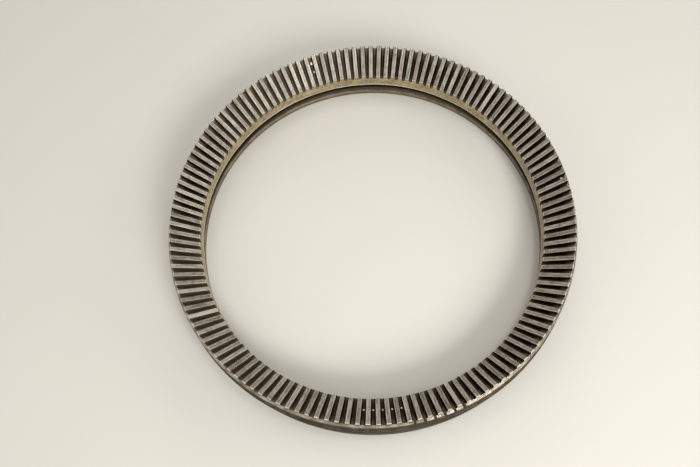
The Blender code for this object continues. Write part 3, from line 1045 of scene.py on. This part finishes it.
def build_cage(looks):
    """Arc segments with chamfered edges and a round window for each ball."""
    inner = RACE_CENTRE_RADIUS - CAGE_THICKNESS / 2
    outer = RACE_CENTRE_RADIUS + CAGE_THICKNESS / 2
    bottom, top = (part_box("cage_segment_1")[i].z for i in range(2))
    outline = [
        (inner, bottom + CAGE_EDGE),
        (inner + CAGE_EDGE, bottom),
        (outer - CAGE_EDGE, bottom),
        (outer, bottom + CAGE_EDGE),
        (outer, top - CAGE_EDGE),
        (outer - CAGE_EDGE, top),
        (inner + CAGE_EDGE, top),
        (inner, top - CAGE_EDGE),
    ]
    reaches = (RACE_CENTRE_RADIUS - BALL_RADIUS, RACE_CENTRE_RADIUS + BALL_RADIUS)
    sections = [(reach, WINDOW_RADIUS) for reach in reaches]
    per_segment = BALL_COUNT // CAGE_SEGMENTS
    for i in range(CAGE_SEGMENTS):
        start = FULL_TURN * i / CAGE_SEGMENTS + CAGE_END_GAP / 2
        sweep = FULL_TURN / CAGE_SEGMENTS - CAGE_END_GAP
        bm = bmesh.new()
        rows = []
        for k in range(CAGE_STEPS + 1):
            angle = start + sweep * k / CAGE_STEPS
            rows.append([bm.verts.new(around(angle, r, z)) for r, z in outline])
        for row, after in zip(rows, rows[1:]):
            bridge(bm, row, after, (0,))
        for cap in (rows[0], rows[-1]):
            bm.faces.new(cap)
        segment = make_piece(f"cage_arc_{i + 1}", bm, [looks["cage"]])
        balls = range(i * per_segment, (i + 1) * per_segment)
        windows = rods(sections, [radial_placement(ball_angle(b), RACE_Z) for b in balls])
        subtract(segment, cutter_piece("ball_windows", windows))
        join_frame(segment, "ball_train", [f"cage_segment_{i + 1}"])


# ---------------------------------------------------------------- stage


def build_floor():
    bm = bmesh.new()
    bmesh.ops.create_grid(bm, x_segments=1, y_segments=1, size=FLOOR_SIZE)
    bmesh.ops.translate(bm, verts=bm.verts, vec=(0, 0, -FLOOR_DROP))
    look = Look("plain_floor")
    cloud = look.noise(look.place, 0.4, 2.0)
    base = look.mix(cloud, colour(204, 200, 190), colour(208, 204, 194))
    roughness = look.span(cloud, 0, 1, 0.6, 0.7)
    material = look.finish(base, roughness, 0.0, cloud, 0.01 * MM)
    floor = make_piece("floor", bm, [material])


def add_light(name, place, size, power):
    """A soft white rectangle of light that faces LIGHT_AIM."""
    light = bpy.data.lights.new(name, "AREA")
    light.shape = "RECTANGLE"
    light.size, light.size_y = size
    light.energy = power
    lamp = bpy.data.objects.new(name, light)
    lamp.location = place
    lamp.rotation_euler = (Vector(LIGHT_AIM) - Vector(place)).to_track_quat("-Z", "Y").to_euler()
    lamp.visible_camera = False
    bpy.context.scene.collection.objects.link(lamp)


def build_lights():
    add_light("overhead", (0, 0.2, 3.0), (2.6, 2.6), 28)
    add_light("key", (0.85, -2.1, 1.9), (1.1, 1.1), 59)
    add_light("side", (2.4, -0.3, 1.5), (1.0, 1.0), 12.5)
    add_light("fill", (-2.2, -0.6, 1.8), (1.4, 1.4), 9)
    add_light("strip", (0.47, -0.12, 3.0), (0.42, 0.24), 10)
    add_light("back", (0.5, 2.9, 1.5), (1.3, 1.0), 16)
    world = bpy.data.worlds.new("studio")
    world.use_nodes = True
    background = world.node_tree.nodes["Background"]
    background.inputs["Color"].default_value = WORLD_TONE
    background.inputs["Strength"].default_value = WORLD_STRENGTH
    bpy.context.scene.world = world
    bpy.context.scene.view_settings.view_transform = "Standard"


def build_camera():
    data = bpy.data.cameras.new("camera")
    data.lens = CAMERA_LENS
    camera = bpy.data.objects.new("camera", data)
    turn_by = Matrix.Rotation(CAMERA_TURN, 4, "Z")
    tilt = Matrix.Rotation(CAMERA_TILT, 4, "X") @ Matrix.Rotation(CAMERA_ROLL, 4, "Z")
    camera.matrix_world = turn_by @ Matrix.Translation(CAMERA_PLACE) @ tilt
    bpy.context.scene.collection.objects.link(camera)
    bpy.context.scene.camera = camera


def main():
    looks = make_looks()
    build_gear_ring(looks)
    build_fixed_ring(looks)
    build_loading_plug(looks)
    build_taper_pin(looks)
    build_grease_fittings(looks)
    build_seal("outer_lip_seal", "outer_seal", OUTER_SEAL, FLANGE_Z, looks)
    build_seal("inner_lip_seal", "inner_seal", INNER_SEAL, WEB_Z, looks)
    build_balls(looks)
    build_cage(looks)
    build_floor()
    build_lights()
    build_camera()
    bpy.context.view_layer.update()


main()
